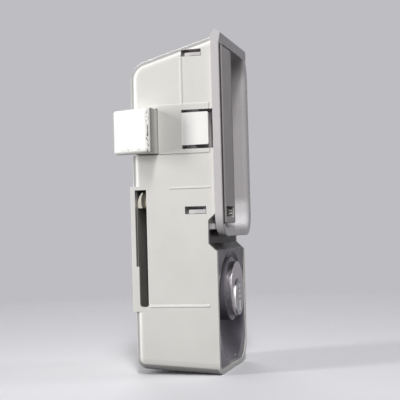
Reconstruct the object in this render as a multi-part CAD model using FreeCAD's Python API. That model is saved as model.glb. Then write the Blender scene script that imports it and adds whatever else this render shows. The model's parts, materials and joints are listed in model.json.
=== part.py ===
import FreeCAD, Part
import math
import os

# Recessed handle lock for a sheet metal locker door, in millimetres.
# The door lies in the plane Y = 0. The front of the lock looks towards -Y, +Y goes into the
# locker, +Z is up and the spring latch leaves the housing towards -X. The origin is on the door's
# front face, near the middle of the lock.

V = FreeCAD.Vector
os.makedirs("parts", exist_ok=True)

# Housing: a moulded tub with an open front
body_width = 56.0
half_width = body_width / 2.0
wall = 2.0
inner_x = half_width - wall
front_top_z = 70.35
front_bottom_z = -74.0
body_depth = 37.5
rear_inner_y = body_depth - wall
top_fall = 0.29
bottom_rise = 0.065
top_rear_radius = 9.0
bottom_near_radius = 5.0
bottom_far_radius = 12.0
top_far_radius = 12.0
outer_edge_radius = 4.6
fit_gap = 0.2
slide_gap = 0.3
run_gap = 0.05
seat_gap = 0.01

# Frame around the finger recess, which lies on the door
rim_overhang = 1.5
rim_thickness = 3.4
rim_top_z = front_top_z + 2.3
rim_bottom_z = -15.4
rim_bottom_radius = 9.5
rim_top_near_radius = 0.5
rim_top_far_radius = 15.0
rim_edge_radius = 0.4
rim_lip_height = 6.2
rim_lip_reach = 0.85
rim_tip_y = -1.5
rim_front_drop = 2.0
rim_cove_radius = 2.0
rim_seat_step = 0.1
rim_seat_gap = 0.1

# Finger recess
cup_wall = 1.4
cup_side_gap = 0.6
cup_floor_y = 13.8
recess_bottom_z = -10.85
recess_top_z = front_top_z - 3.45
recess_near_x = -inner_x + cup_side_gap + cup_wall
recess_far_x = -recess_near_x
recess_far_top_radius = 9.5
recess_far_bottom_radius = 6.5
recess_near_radius = 3.0
recess_floor_radius = 2.0
recess_mouth_radius = 2.2
ledge_y = -0.4
ledge_near_x = -half_width - rim_overhang + 0.9

# Handle paddle and its upright hinge pin
hinge_x = -half_width + 7.5
hinge_y = 0.5
pin_radius = 1.5
knuckle_radius = 2.7
paddle_near_x = ledge_near_x + 1.4
paddle_far_x = hinge_x + 11.8
paddle_front_y = -4.2
paddle_thickness = 2.5
paddle_near_thickness = 1.0
paddle_edge_radius = 0.7
paddle_top_z = recess_top_z - 1.1
paddle_bottom_z = -9.8
paddle_lip_depth = 4.1
paddle_lip_width = 1.5
spring_window_z = (-7.1, -2.6)
window_near_x = paddle_near_x + 1.6
window_far_x = paddle_far_x - 3.0
arm_rest_angle = 4.73
arm_thickness = 3.2
arm_neck_thickness = 2.4
arm_height = 8.4
arm_tip_radius = 2.1
arm_pocket_gap = 0.4
arm_web_run = 9.0
arm_web_spread = 12.0

# Torsion spring on the hinge pin
hinge_spring_radius = 2.15
hinge_spring_wire = 0.35
hinge_spring_turns = 2.25
hinge_spring_margin = (0.35, 0.75)
paddle_leg_length = 5.5
cup_leg_length = 9.0

# Spring latch bolt
latch_z = 30.1
latch_height = 18.8
latch_front_y = body_depth - 12.8
latch_rear_y = body_depth + 6.0
latch_tip_x = -half_width - 10.5
latch_tip_flat = 2.6
latch_heel_x = -half_width - 3.5
latch_edge_radius = 1.2
latch_travel = 10.4
latch_head_inner_x = -half_width + 16.0
latch_tail_length = 14.0
latch_tail_x = latch_head_inner_x + latch_tail_length
latch_tail_height = 12.4
latch_tail_depth = 7.2
latch_window_gap = 0.5
arm_tip_depth = 4.8
arm_reach = (latch_front_y + arm_tip_depth - hinge_y) / math.cos(math.radians(arm_rest_angle))

# Compression spring behind the bolt
bolt_spring_radius = 3.0
bolt_spring_wire = 0.45
bolt_spring_turns = 9
spring_rod_radius = 1.9
spring_rod_length = 7.0
spring_peg_length = 3.5

# Plate that holds the bolt in, on four posts
plate_thickness = 1.5
plate_far_gap = 5.0
plate_right_x = half_width - plate_far_gap
post_radius = 2.3
post_x = (-half_width + 8.5, half_width - 9.5)
post_offset_z = 12.6
plate_screw_radius = 1.25
plate_screw_head_radius = 2.2
plate_screw_head_height = 1.7
plate_screw_length = 7.5
rail_width = 1.4

# Opening for the hook cam in the near side, with its squared block
slot_front_y = body_depth - 6.95
slot_rear_y = body_depth - 1.8
slot_low_rear_y = body_depth - 3.0
slot_top_z = 5.3
slot_step_z = -27.6
slot_bottom_z = -44.9
slot_block_margin = 2.0
slot_block_width = 4.0

# Snap tabs that grip the door sheet
tab_slot_z = (22.15, 38.85)
tab_z = (23.75, 37.65)
tab_root_y = 14.0
sheet_clear_y = 2.05
tab_lift = 1.25
tab_thickness = 1.6
tab_flex_depth = 0.9

# Raised lines on the sides
pad_z = (20.35, 41.35)
pad_rear_y = 28.0
pad_height = 0.35
step_y = (13.4, 14.1)
step_top_z = front_top_z - 9.05
step_height = 0.25
ridge_z = (-45.3, -43.4)
ridge_y = (3.7, 30.0)
ridge_height = 0.25
low_line_z = (5.3, 5.9)
low_line_y = (sheet_clear_y, 20.0)
low_line_height = 0.2

# Catches of the recess in windows of both sides: front, rear, low, high
near_catches = ((4.7, 13.6, front_top_z - 8.7, front_top_z - 5.7), (4.1, 13.5, -5.65, -2.35))
far_catches = ((4.7, 13.6, front_top_z - 20.35, front_top_z - 17.35), near_catches[1])
catch_rear_gap = 1.6
catch_top_gap = 1.4
catch_front_gap = 0.2
catch_lead = 0.7

# Notch behind the rim for the bridge of door sheet between the two cut-outs
notch_top_z = -5.45
notch_bottom_z = -21.45
notch_depth = 3.6
notch_slope = 3.1

# Lower dish with the lock boss
dish_front_y = 0.4
dish_wall = 1.8
dish_ledge_z = (-60.0, -26.0)
dish_ledge_width = 1.4
bowl_depth = 8.5
bowl_radius = 25.4
bowl_z = -47.2
boss_z = -38.95
boss_radius = 14.2
boss_front_y = 0.0
collar_rear_y = 16.0
collar_radius = 13.2
foot_x = (8.0, 16.0)
foot_y = (4.6, 6.9)

# Barrel and plug
plug_z = -42.75
barrel_radius = 11.0
barrel_flat_x = 9.6
barrel_flange_radius = 12.1
barrel_flange_front_y = -2.5
barrel_rear_y = body_depth - 8.7
plug_radius = 6.0
plug_face_radius = 8.0
plug_face_y = -3.3
plug_face_seat_y = -1.5
keyway_width = 1.9
keyway_z = (-47.3, -39.2)
keyway_depth = 24.0
keyway_mouth = (2.1, 13.4, 1.2)
keyway_ward_radius = 0.55
keyway_ward_z = (-39.4, -41.6, -43.8)
pin_count = 5
pin_first_y = 5.0
pin_pitch = 4.0
lock_pin_radius = 1.2
key_pin_lengths = (3.4, 4.6, 4.0, 5.2, 3.8)
pin_gap = 0.1
driver_pin_length = 3.4
pin_cover_z = -29.6
pin_cover_thickness = 1.3
pin_cover_width = 3.6
clip_y = collar_rear_y + 0.35
clip_thickness = 1.2
clip_outer_x = barrel_radius + 3.0
clip_bite = 1.0
clip_drop = barrel_radius - 2.0
clip_rise = 4.0

# Hook cam and what holds it on the plug
tail_width = 6.2
stop_washer_radius = 8.6
stop_washer_inner_radius = 5.9
stop_washer_thickness = 1.3
stop_block_width = 2.2
stop_block_span = (6.4, 8.6)
stop_turn = 90.0
cam_thickness = 1.8
cam_front_y = body_depth - 5.3
cam_curl_y = (body_depth - 4.7, body_depth - 2.35)
cam_band_x = (-1.5, 6.0)
cam_hook_z = (40.4, 47.0)
cam_hook_tip_x = -half_width + 2.5
cam_hook_curl = 6.5
cam_eye_radius = 6.5
cam_bend_radius = 5.0
cam_screw_radius = 1.5
cam_screw_head_radius = 3.4
cam_screw_head_height = 1.6
cam_screw_length = 8.0
cam_washer_thickness = 0.5
access_hole_radius = 6.4

far = 200.0


# Basic shapes


def box(x, y, z):
    return Part.makeBox(x[1] - x[0], y[1] - y[0], z[1] - z[0], V(x[0], y[0], z[0]))


def rod_x(radius, x, y, z):
    return Part.makeCylinder(radius, x[1] - x[0], V(x[0], y, z), V(1, 0, 0))


def rod_y(radius, y, x, z):
    return Part.makeCylinder(radius, y[1] - y[0], V(x, y[0], z), V(0, 1, 0))


def rod_z(radius, z, x, y):
    return Part.makeCylinder(radius, z[1] - z[0], V(x, y, z[0]), V(0, 0, 1))


def prism(points, direction):
    wire = Part.makePolygon(points + [points[0]])
    return Part.Face(wire).extrude(direction)


def prism_x(points, x):
    return prism([V(x[0], y, z) for y, z in points], V(x[1] - x[0], 0, 0))


def prism_y(points, y):
    return prism([V(x, y[0], z) for x, z in points], V(0, y[1] - y[0], 0))


def prism_z(points, z):
    return prism([V(x, y, z[0]) for x, y in points], V(0, 0, z[1] - z[0]))


def join(shapes):
    result = shapes[0].multiFuse(shapes[1:]) if len(shapes) > 1 else shapes[0]
    return result.removeSplitter()


def edges_where(shape, test):
    return [edge for edge in shape.Edges if test(edge)]


def spans(edge, axis):
    low = [edge.BoundBox.XMin, edge.BoundBox.YMin, edge.BoundBox.ZMin][axis]
    high = [edge.BoundBox.XMax, edge.BoundBox.YMax, edge.BoundBox.ZMax][axis]
    return low, high


def lies_at(edge, axis, value):
    low, high = spans(edge, axis)
    return abs(low - value) < 0.01 and abs(high - value) < 0.01


def mirrored_x(shape):
    return shape.mirror(V(0, 0, 0), V(1, 0, 0))


def both_sides(shape):
    return [shape, mirrored_x(shape)]


def rounded_outline(x, z, radii, y):
    """Closed outline in a plane of constant Y. Radii run from low X low Z anticlockwise."""
    low = ((x[0], z[0], 1, 0, 0, 1), (x[1], z[0], 0, 1, -1, 0))
    high = ((x[1], z[1], -1, 0, 0, -1), (x[0], z[1], 0, -1, 1, 0))
    corners = low + high
    starts = []
    ends = []
    middles = []
    for (cx, cz, ox, oz, ix, iz), r in zip(corners, radii):
        starts.append(V(cx + ix * r, y, cz + iz * r))
        ends.append(V(cx + ox * r, y, cz + oz * r))
        centre = V(cx + (ox + ix) * r, y, cz + (oz + iz) * r)
        outward = V(-(ox + ix), 0, -(oz + iz)).normalize()
        middles.append(centre + outward * r)
    edges = []
    for i in range(4):
        edges.append(Part.Arc(starts[i], middles[i], ends[i]).toShape())
        edges.append(Part.LineSegment(ends[i], starts[(i + 1) % 4]).toShape())
    return Part.Wire(edges)


def rounded_block(x, y, z, radii):
    return Part.Face(rounded_outline(x, z, radii, y[0])).extrude(V(0, y[1] - y[0], 0))


# Housing envelope


def top_z(y, inset=0.0):
    return front_top_z - top_fall * y - inset * math.hypot(1.0, top_fall)


def bottom_z(y, inset=0.0):
    return front_bottom_z + bottom_rise * y + inset


def under_top(inset, rear_y):
    """Everything under the sloping top and in front of the rear plane, both drawn in by inset."""
    points = [(-far, top_z(-far, inset)), (rear_y, top_z(rear_y, inset)), (rear_y, -far), (-far, -far)]
    block = prism_x(points, (-far, far))
    ridge = edges_where(block, lambda e: lies_at(e, 1, rear_y) and lies_at(e, 2, top_z(rear_y, inset)))
    return block.makeFillet(top_rear_radius - inset, ridge)


def envelope(inset, y):
    """The housing's outside drawn in by inset, between two depths."""
    radii = (bottom_near_radius - inset, bottom_far_radius - inset, 1.0, 1.0)
    x = (inset - half_width, half_width - inset)
    outline = rounded_outline(x, (bottom_z(y[0], inset), far), radii, y[0])
    depth = y[1] - y[0]
    column = Part.Face(outline).extrude(V(0, depth, bottom_rise * depth))
    return column.common(under_top(inset, body_depth - inset))


def far_corner(inset):
    """What is left off the upper corner of the far side, straight back from the front."""
    x = half_width - top_far_radius
    z = front_top_z - top_far_radius
    block = box((x, far), (-far, far), (z, far))
    return block.cut(rod_y(top_far_radius - inset, (-far, far), x, z))


def outer_shell():
    shell = envelope(0.0, (0.0, body_depth))

    def rear_or_side(edge):
        if lies_at(edge, 1, 0.0):
            return False
        side = lies_at(edge, 0, half_width) or lies_at(edge, 0, -half_width)
        along_bottom = spans(edge, 2)[0] < front_bottom_z / 2 and not lies_at(edge, 1, body_depth)
        ridge = abs(edge.BoundBox.XLength - body_width) < 0.01 and spans(edge, 2)[0] > 0
        rear = lies_at(edge, 1, body_depth)
        return (side or rear) and not along_bottom and not ridge

    return shell.makeFillet(outer_edge_radius, edges_where(shell, rear_or_side))


def slot_block():
    z = (slot_bottom_z - slot_block_margin, slot_top_z + slot_block_margin - 0.4)
    return box((-half_width, -half_width + slot_block_width), (slot_front_y, body_depth + 0.15), z)


def cam_slot():
    x = (-half_width - 1.0, -inner_x + 0.5)
    upper = box(x, (slot_front_y, slot_rear_y), (slot_step_z, slot_top_z))
    lower = box(x, (slot_front_y, slot_low_rear_y), (slot_bottom_z, slot_step_z + 1.0))
    corners = edges_where(lower, lambda e: lies_at(e, 2, slot_bottom_z) and e.BoundBox.YLength < 0.01)
    return join([upper, lower.makeFillet(1.2, corners)])


def side_notch():
    rear = notch_depth
    points = [
        (-1.0, notch_top_z + 1.0),
        (0.2, notch_top_z),
        (rear - 0.2, notch_top_z - notch_slope + 0.2),
        (rear, notch_bottom_z + notch_slope),
        (dish_front_y, notch_bottom_z),
        (-1.0, notch_bottom_z - 1.0),
    ]
    return prism_x(points, (-half_width - 1.0, -inner_x + 0.01))


def catch_window(front_y, rear_y, low, high):
    return box((-half_width - 1.0, -inner_x + 0.01), (front_y, rear_y), (low, high))


def snap_tab():
    """Tab that leans outward. The sheet of the door lies between its end and the frame."""
    root = -half_width
    end = root - tab_lift
    rear = tab_root_y + 0.2
    points = [(root, rear), (end, sheet_clear_y)]
    points += [(x + tab_thickness, y) for x, y in reversed(points)]
    tab = prism_z(points, tab_z)
    corners = edges_where(tab, lambda e: lies_at(e, 1, sheet_clear_y) and e.BoundBox.ZLength < 0.01)
    return tab.makeFillet(0.6, corners)


def latch_window():
    z = (latch_z - latch_height / 2 - latch_window_gap, latch_z + latch_height / 2 + latch_window_gap)
    side = box((-half_width - 2.0, -inner_x + 0.01), (latch_front_y - slide_gap, body_depth + 2.0), z)
    rear = box((-half_width - 2.0, latch_rear_window_x()), (rear_inner_y - 0.01, body_depth + 2.0), z)
    return join([side, rear])


def latch_rear_window_x():
    return -half_width + latch_window_gap + latch_travel + 0.3


def post_places():
    return [(x, latch_z + s * post_offset_z) for x in post_x for s in (-1, 1)]


def plate_front_y():
    return latch_front_y - slide_gap - plate_thickness


def side_ledge():
    """Step inside the side wall that the dish lies against."""
    front = dish_front_y + dish_wall + 1.2
    inner = -inner_x + dish_ledge_width
    points = [(-inner_x - 0.2, front), (inner, front), (inner, front + 1.2), (-inner_x - 0.2, front + 2.4)]
    return prism_z(points, dish_ledge_z)


def side_ridge():
    """Low ridge whose upper side slants towards the light."""
    low, high = ridge_z
    skin = -half_width + 0.1
    top = -half_width - ridge_height
    points = [(skin, high), (top, low + 0.6), (top, low + 0.3), (skin, low)]
    return prism_y(points, ridge_y)


def raised_lines():
    skin = -half_width + 0.1
    pad = box((-half_width - pad_height, skin), (sheet_clear_y, pad_rear_y), pad_z)
    step = box((-half_width - step_height, skin), step_y, (pad_z[1], step_top_z))
    low_line = box((-half_width - low_line_height, skin), low_line_y, low_line_z)
    return [pad, step, side_ridge(), low_line]


def make_housing():
    cavity = envelope(wall, (-1.0, rear_inner_y)).cut(far_corner(wall))
    shell = join([outer_shell(), slot_block()]).cut(cavity)
    raised = []
    for piece in raised_lines():
        raised += both_sides(piece)
    solid = join([shell] + raised).cut(far_corner(0.0))
    cuts = [catch_window(*window) for window in near_catches]
    cuts += [mirrored_x(catch_window(*window)) for window in far_catches]
    tab_cut = box((-half_width - 2.0, -inner_x + 0.01), (-1.0, tab_root_y), tab_slot_z)
    cuts += both_sides(side_notch()) + both_sides(tab_cut)
    cuts += [latch_window(), cam_slot()]
    cuts.append(rod_y(access_hole_radius, (rear_inner_y - 1.0, body_depth + 1.0), 0.0, plug_z))
    window_y = (foot_y[0] - 0.4, foot_y[1] + 0.5)
    window_z = (front_bottom_z - 1.0, bottom_z(window_y[1], wall) + 0.3)
    for s in (-1, 1):
        x = sorted((s * (foot_x[0] - 0.4), s * (foot_x[1] + 0.4)))
        cuts.append(box(x, window_y, window_z))
    for cut in cuts:
        solid = solid.cut(cut)
    inside = both_sides(side_ledge()) + both_sides(snap_tab())
    head = latch_height / 2 + slide_gap
    rail_x = (-inner_x + 0.1, latch_tail_x + 2.0)
    rail_y = (rear_inner_y - 5.0, rear_inner_y + 0.5)
    for s in (-1, 1):
        z = sorted((latch_z + s * head, latch_z + s * (head + rail_width)))
        inside.append(box(rail_x, rail_y, z))
    plate_seat = plate_front_y() + plate_thickness
    for x, z in post_places():
        inside.append(rod_y(post_radius, (plate_seat, rear_inner_y + 0.5), x, z))
    peg_x = (inner_x - spring_peg_length, inner_x + 0.5)
    inside.append(rod_x(spring_rod_radius, peg_x, spring_y(), latch_z))
    solid = join([solid] + inside)
    screw_y = (plate_seat - 0.1, plate_seat + plate_screw_length)
    for x, z in post_places():
        solid = solid.cut(rod_y(plate_screw_radius + seat_gap, screw_y, x, z))
    return solid


# Finger recess with the rim


def rim_plate():
    """Frame with a lip along its top, which curls forward in front and has a cove behind."""
    x = (-half_width - rim_overhang, half_width + rim_overhang)
    radii = (rim_bottom_radius, rim_bottom_radius, rim_top_far_radius, rim_top_near_radius)
    plate = rounded_block(x, (-rim_thickness, 0.0), (rim_bottom_z, rim_top_z), radii)
    plate = plate.makeFillet(rim_edge_radius, edges_where(plate, lambda e: lies_at(e, 1, -rim_thickness)))
    plate = plate.cut(mouth_block((-far, far)))

    def round_mouth(edge):
        within = spans(edge, 0)[0] > recess_near_x - 0.01 and spans(edge, 0)[1] < recess_far_x + 0.01
        return lies_at(edge, 1, -rim_thickness) and within

    plate = plate.makeFillet(recess_mouth_radius, edges_where(plate, round_mouth))
    lip_y = -rim_thickness - rim_lip_reach
    lip_z = rim_top_z - rim_front_drop
    lip = rounded_block(x, (lip_y, 0.0), (rim_bottom_z, rim_top_z), radii)
    low = rim_top_z - rim_lip_height
    band = [(-rim_thickness, low), (lip_y, lip_z), (lip_y, far), (0.0, far), (0.0, low)]
    lip = lip.common(prism_x(band, (-far, far)))
    front = 2 * lip_y - rim_tip_y
    slant = [(front, lip_z - rim_front_drop), (rim_tip_y, rim_top_z), (rim_tip_y, far), (front, far)]
    over = prism_x(slant, (-far, far))
    cove = rod_x(rim_cove_radius, (-far, far), rim_tip_y + rim_cove_radius, rim_top_z)
    return join([plate, lip]).cut(over).cut(cove)


def tub_blank():
    """Outside of the recess, with more room left at the sides than above."""
    inset = wall + fit_gap
    blank = envelope(inset, (-0.5, body_depth - inset)).cut(far_corner(inset))
    side = inner_x - cup_side_gap
    low = recess_bottom_z - cup_wall
    return blank.common(box((-side, side), (-0.5, cup_floor_y + cup_wall), (low, far)))


def mouth_block(y):
    x = (recess_near_x, recess_far_x)
    radii = (recess_near_radius, recess_far_bottom_radius, recess_far_top_radius, recess_near_radius)
    return rounded_block(x, y, (recess_bottom_z, recess_top_z), radii)


def recess_room():
    room = mouth_block((-rim_thickness - 3.0, cup_floor_y))
    room = room.common(under_top(wall + fit_gap + cup_wall, body_depth))
    floor = edges_where(room, lambda e: lies_at(e, 1, cup_floor_y))
    return room.makeFillet(recess_floor_radius, floor)


def catch_lug(front_y, rear_y, low, high):
    """Catch that stands in a window, thick at its front and thin at its rear."""
    foot = -inner_x + cup_side_gap + 0.2
    top = -half_width + 0.05
    y0 = front_y + catch_front_gap
    y1 = rear_y - catch_rear_gap
    points = [(foot, y0), (top, y0), (top, y1 - 3.0), (top + catch_lead, y1), (foot, y1)]
    return prism_z(points, (low + 0.15, high - catch_top_gap))


def catch_relief(depth, front_y, rear_y, low, high):
    """L shaped cut beside a catch, which lets it bend."""
    x = (-half_width, -inner_x + cup_side_gap + depth)
    along = box(x, (front_y, rear_y), (high - catch_top_gap + 0.1, high))
    down = box(x, (rear_y - catch_rear_gap, rear_y), (low, high))
    return join([along, down])


def make_cup():
    tub = tub_blank()
    solid = join([rim_plate(), tub]).cut(recess_room())
    front = box((ledge_near_x, hinge_x), (-far, ledge_y), (recess_bottom_z + 0.6, recess_top_z - 0.5))
    corners = edges_where(front, lambda e: lies_at(e, 0, ledge_near_x) and e.BoundBox.YLength > 1.0)
    solid = solid.cut(front.makeFillet(1.0, corners))
    seat_z = (notch_top_z - notch_slope, front_top_z + rim_seat_gap)
    seat = box((-half_width - rim_seat_gap, half_width + rim_seat_gap), (-rim_seat_step, 0.1), seat_z)
    solid = solid.cut(seat.cut(tub).cut(far_corner(-rim_seat_gap)))
    relief_z = (recess_bottom_z + 1.0, notch_top_z + 0.3)
    solid = solid.cut(box((-far, recess_near_x + 0.5), (0.3, notch_depth + 0.3), relief_z))
    arm_z = (latch_z - arm_height / 2 - 0.8, latch_z + arm_height / 2 + 0.8)
    floor_y = (cup_floor_y - 1.0, cup_floor_y + cup_wall + 1.0)
    solid = solid.cut(box((recess_near_x + 0.3, hinge_x + 6.8), floor_y, arm_z))
    pin_hole = rod_z(pin_radius + seat_gap, (recess_bottom_z - cup_wall - 1.0, far), hinge_x, hinge_y)
    solid = solid.cut(pin_hole)
    flex_z = (tab_slot_z[0] - 0.5, tab_slot_z[1] + 0.5)
    flex_y = (0.6, tab_root_y + 0.6)
    tub_side = inner_x - cup_side_gap
    solid = solid.cut(box((-far, recess_near_x + 0.5), flex_y, flex_z))
    solid = solid.cut(box((tub_side - tab_flex_depth, far), flex_y, flex_z))
    stop_x = hinge_x - hinge_spring_radius + hinge_spring_wire + 0.05
    stop_z = (spring_window_z[0] - 1.0, spring_window_z[1])
    stop = box((stop_x, stop_x + 1.8), (cup_floor_y - 7.0, cup_floor_y + 0.2), stop_z)
    lugs = [catch_lug(*window) for window in near_catches]
    lugs += [mirrored_x(catch_lug(*window)) for window in far_catches]
    for window in near_catches:
        solid = solid.cut(catch_relief(cup_wall + 0.3, *window))
    for window in far_catches:
        solid = solid.cut(mirrored_x(catch_relief(tab_flex_depth, *window)))
    return join([solid, stop] + lugs)


# Handle paddle


def paddle_section():
    """Section across the paddle, from above: rounded near edge, flat front, lip on the free edge."""
    front = paddle_front_y
    near = paddle_near_x
    free = paddle_far_x
    back = front + paddle_thickness
    lip = front + paddle_lip_depth
    r = paddle_edge_radius
    c = r * (1 - math.cos(math.pi / 4))
    edges = [
        Part.Arc(V(near, front + r, 0), V(near + c, front + c, 0), V(near + r, front, 0)).toShape(),
        Part.LineSegment(V(near + r, front, 0), V(free - r, front, 0)).toShape(),
        Part.Arc(V(free - r, front, 0), V(free - c, front + c, 0), V(free, front + r, 0)).toShape(),
    ]
    rib = free - paddle_lip_width
    rest = [
        V(free, front + r, 0),
        V(free, lip, 0),
        V(rib, lip, 0),
        V(rib, back, 0),
        V(hinge_x - 2.5, back, 0),
        V(near, front + paddle_near_thickness, 0),
        V(near, front + r, 0),
    ]
    edges += [Part.LineSegment(a, b).toShape() for a, b in zip(rest, rest[1:])]
    return Part.Face(Part.Wire(edges))


def paddle_arm():
    """Arm that reaches back through the recess floor, drawn straight and then turned to rest."""
    low = latch_z - arm_height / 2
    high = latch_z + arm_height / 2
    neck_y = arm_reach - 6.0
    thick = arm_thickness / 2
    web_y = (pin_radius, pin_radius + arm_web_run)
    outline = [
        (web_y[0], low - arm_web_spread),
        (web_y[1], low),
        (neck_y, low),
        (neck_y, high),
        (web_y[1], high),
        (web_y[0], high + arm_web_spread),
    ]
    web = prism_x(outline, (-thick, thick))
    neck = box((-arm_neck_thickness / 2, arm_neck_thickness / 2), (neck_y - 1.0, arm_reach), (low, high))
    tip = rod_z(arm_tip_radius, (low, high), 0.0, arm_reach)
    arm = join([web, neck, tip])
    arm.rotate(V(0, 0, 0), V(0, 0, 1), arm_rest_angle)
    arm.translate(V(hinge_x, hinge_y, 0))
    return arm


def make_paddle():
    face = paddle_section()
    face.translate(V(0, 0, paddle_bottom_z))
    plate = face.extrude(V(0, 0, paddle_top_z - paddle_bottom_z))
    ends = edges_where(plate, lambda e: lies_at(e, 1, paddle_front_y) and e.BoundBox.XLength > 5.0)
    plate = plate.makeFillet(paddle_edge_radius - 0.1, ends)
    knuckle = rod_z(knuckle_radius, (paddle_bottom_z, paddle_top_z - 0.6), hinge_x, hinge_y)
    solid = join([plate, knuckle, paddle_arm()])
    window = box((window_near_x, window_far_x), (-far, far), spring_window_z)
    solid = solid.cut(window)
    tongue_front = hinge_y - hinge_spring_radius + hinge_spring_wire + 0.1
    tongue_z = (spring_window_z[0] - 0.4, spring_window_z[1] + 0.4)
    tongue = box((hinge_x + 3.2, paddle_far_x), (tongue_front, tongue_front + 1.5), tongue_z)
    web_z = (paddle_bottom_z, spring_window_z[0])
    web = box((hinge_x + 1.0, paddle_far_x), (tongue_front, tongue_front + 1.5), web_z)
    solid = join([solid, tongue, web])
    return solid.cut(rod_z(pin_radius + run_gap, (-far, far), hinge_x, hinge_y))


def make_paddle_pin():
    low = recess_bottom_z - cup_wall
    high = top_z(hinge_y + pin_radius, wall + fit_gap) - 0.2
    pin = rod_z(pin_radius, (low, high), hinge_x, hinge_y)
    return pin.makeChamfer(0.3, edges_where(pin, lambda e: lies_at(e, 2, low) or lies_at(e, 2, high)))


# Coiled springs


def arc_pair(a, ta, b, tb):
    """Two arcs that join two points and keep both directions."""
    chord = b - a
    t_sum = ta + tb
    p = 4.0 - t_sum.dot(t_sum)
    q = 2.0 * chord.dot(t_sum)
    d = (-q + math.sqrt(q * q + 4.0 * p * chord.dot(chord))) / (2.0 * p)
    qa = a + ta * d
    qb = b - tb * d
    joint = (qa + qb) * 0.5
    edges = []
    for start, corner, end in ((a, qa, joint), (joint, qb, b)):
        line = end - start
        side = corner - (start + end) * 0.5
        angle = (corner - start).getAngle(line)
        middle = (start + end) * 0.5 + side.normalize() * (line.Length * 0.5 * math.tan(angle / 2.0))
        edges.append(Part.Arc(start, middle, end).toShape())
    return edges


def coil_edges(radius, pitch, turns, frame, first_turn=0.0):
    """Unbroken spiral of quarter turns. Frame maps (across, across, along) to a point."""
    steps = int(round(turns * 4))
    rise = pitch / (2 * math.pi)
    origin = frame(0, 0, 0)

    def place(k):
        angle = (first_turn + k / 4.0) * 2 * math.pi
        return frame(radius * math.cos(angle), radius * math.sin(angle), rise * k * math.pi / 2)

    def heading(k):
        angle = (first_turn + k / 4.0) * 2 * math.pi
        step = frame(-radius * math.sin(angle), radius * math.cos(angle), rise)
        return (step - origin).normalize()

    edges = []
    for k in range(steps):
        edges += arc_pair(place(k), heading(k), place(k + 1), heading(k + 1))
    return edges, place(0), heading(0), place(steps), heading(steps)


def report_gap(name, edges, wire, apart):
    """Prints the least gap between turns, from points along the middle of the wire."""
    points = []
    for edge in edges:
        points += edge.discretize(9)[:-1]
    runs = [0.0]
    for a, b in zip(points, points[1:]):
        runs.append(runs[-1] + a.distanceToPoint(b))
    least = far
    for i, a in enumerate(points):
        for j in range(i + 1, len(points)):
            if runs[j] - runs[i] > apart:
                least = min(least, a.distanceToPoint(points[j]))
    print(name, "least gap to itself", round(least - 2 * wire, 3))


def tube(edges, radius, direction):
    path = Part.Wire(edges)
    start = path.OrderedVertexes[0].Point
    ring = Part.Wire(Part.makeCircle(radius, start, direction))
    return path.makePipeShell([ring], True, False)


def spring_y():
    return rear_inner_y - slide_gap - latch_tail_depth / 2


def make_bolt_spring():
    end = bolt_spring_wire + 0.05
    x = (latch_tail_x + end, inner_x - end)
    pitch = (x[1] - x[0]) / bolt_spring_turns

    def frame(a, b, c):
        return V(x[0] + c, spring_y() + a, latch_z + b)

    edges, start, first, finish, last = coil_edges(bolt_spring_radius, pitch, bolt_spring_turns, frame)
    report_gap("bolt spring", edges, bolt_spring_wire, math.pi * bolt_spring_radius)
    return tube(edges, bolt_spring_wire, first)


def make_paddle_spring():
    low = spring_window_z[0] + hinge_spring_wire + hinge_spring_margin[0]
    high = spring_window_z[1] - hinge_spring_wire - hinge_spring_margin[1]
    pitch = (high - low) / hinge_spring_turns

    def frame(a, b, c):
        return V(hinge_x + a, hinge_y + b, low + c)

    coil = coil_edges(hinge_spring_radius, pitch, hinge_spring_turns, frame, 0.5)
    edges, start, first, finish, last = coil
    lead = Part.LineSegment(start - first * cup_leg_length, start).toShape()
    tail = Part.LineSegment(finish, finish + last * paddle_leg_length).toShape()
    edges = [lead] + edges + [tail]
    report_gap("paddle spring", edges, hinge_spring_wire, math.pi * hinge_spring_radius)
    return tube(edges, hinge_spring_wire, first)


# Latch bolt


def latch_profile():
    tip = latch_tip_x
    front = latch_front_y
    inner_rear = rear_inner_y - slide_gap
    bulge_x = -half_width + latch_window_gap - 0.3
    return [
        (latch_head_inner_x, front),
        (tip, front),
        (tip, front + latch_tip_flat),
        (latch_heel_x, latch_rear_y),
        (bulge_x, latch_rear_y),
        (bulge_x, inner_rear),
        (latch_head_inner_x, inner_rear),
    ]


def make_latch_bolt():
    z = (latch_z - latch_height / 2, latch_z + latch_height / 2)
    head = prism_z(latch_profile(), z)

    def outside(edge):
        low, high = spans(edge, 0)
        level = edge.BoundBox.ZLength < 0.01 and high < latch_head_inner_x - 1.0
        return low < -half_width - 0.5 and (high < -half_width - 0.5 or level)

    head = head.makeFillet(latch_edge_radius, edges_where(head, outside))
    tail_z = (latch_z - latch_tail_height / 2, latch_z + latch_tail_height / 2)
    inner_rear = rear_inner_y - slide_gap
    tail_y = (inner_rear - latch_tail_depth, inner_rear)
    tail = box((latch_head_inner_x - 1.0, latch_tail_x), tail_y, tail_z)
    rod_span = (latch_tail_x - 1.0, latch_tail_x + spring_rod_length)
    rod = rod_x(spring_rod_radius, rod_span, spring_y(), latch_z)
    solid = join([head, tail, rod])
    tip_x = hinge_x - arm_reach * math.sin(math.radians(arm_rest_angle))
    tip_y = hinge_y + arm_reach * math.cos(math.radians(arm_rest_angle))
    half = arm_tip_radius + arm_pocket_gap
    pocket_z = (latch_z - arm_height / 2 - 0.6, latch_z + arm_height / 2 + 0.6)
    pocket = box((tip_x - half, tip_x + half), (latch_front_y - 1.0, tip_y + half + 0.2), pocket_z)
    return solid.cut(pocket)


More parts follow.
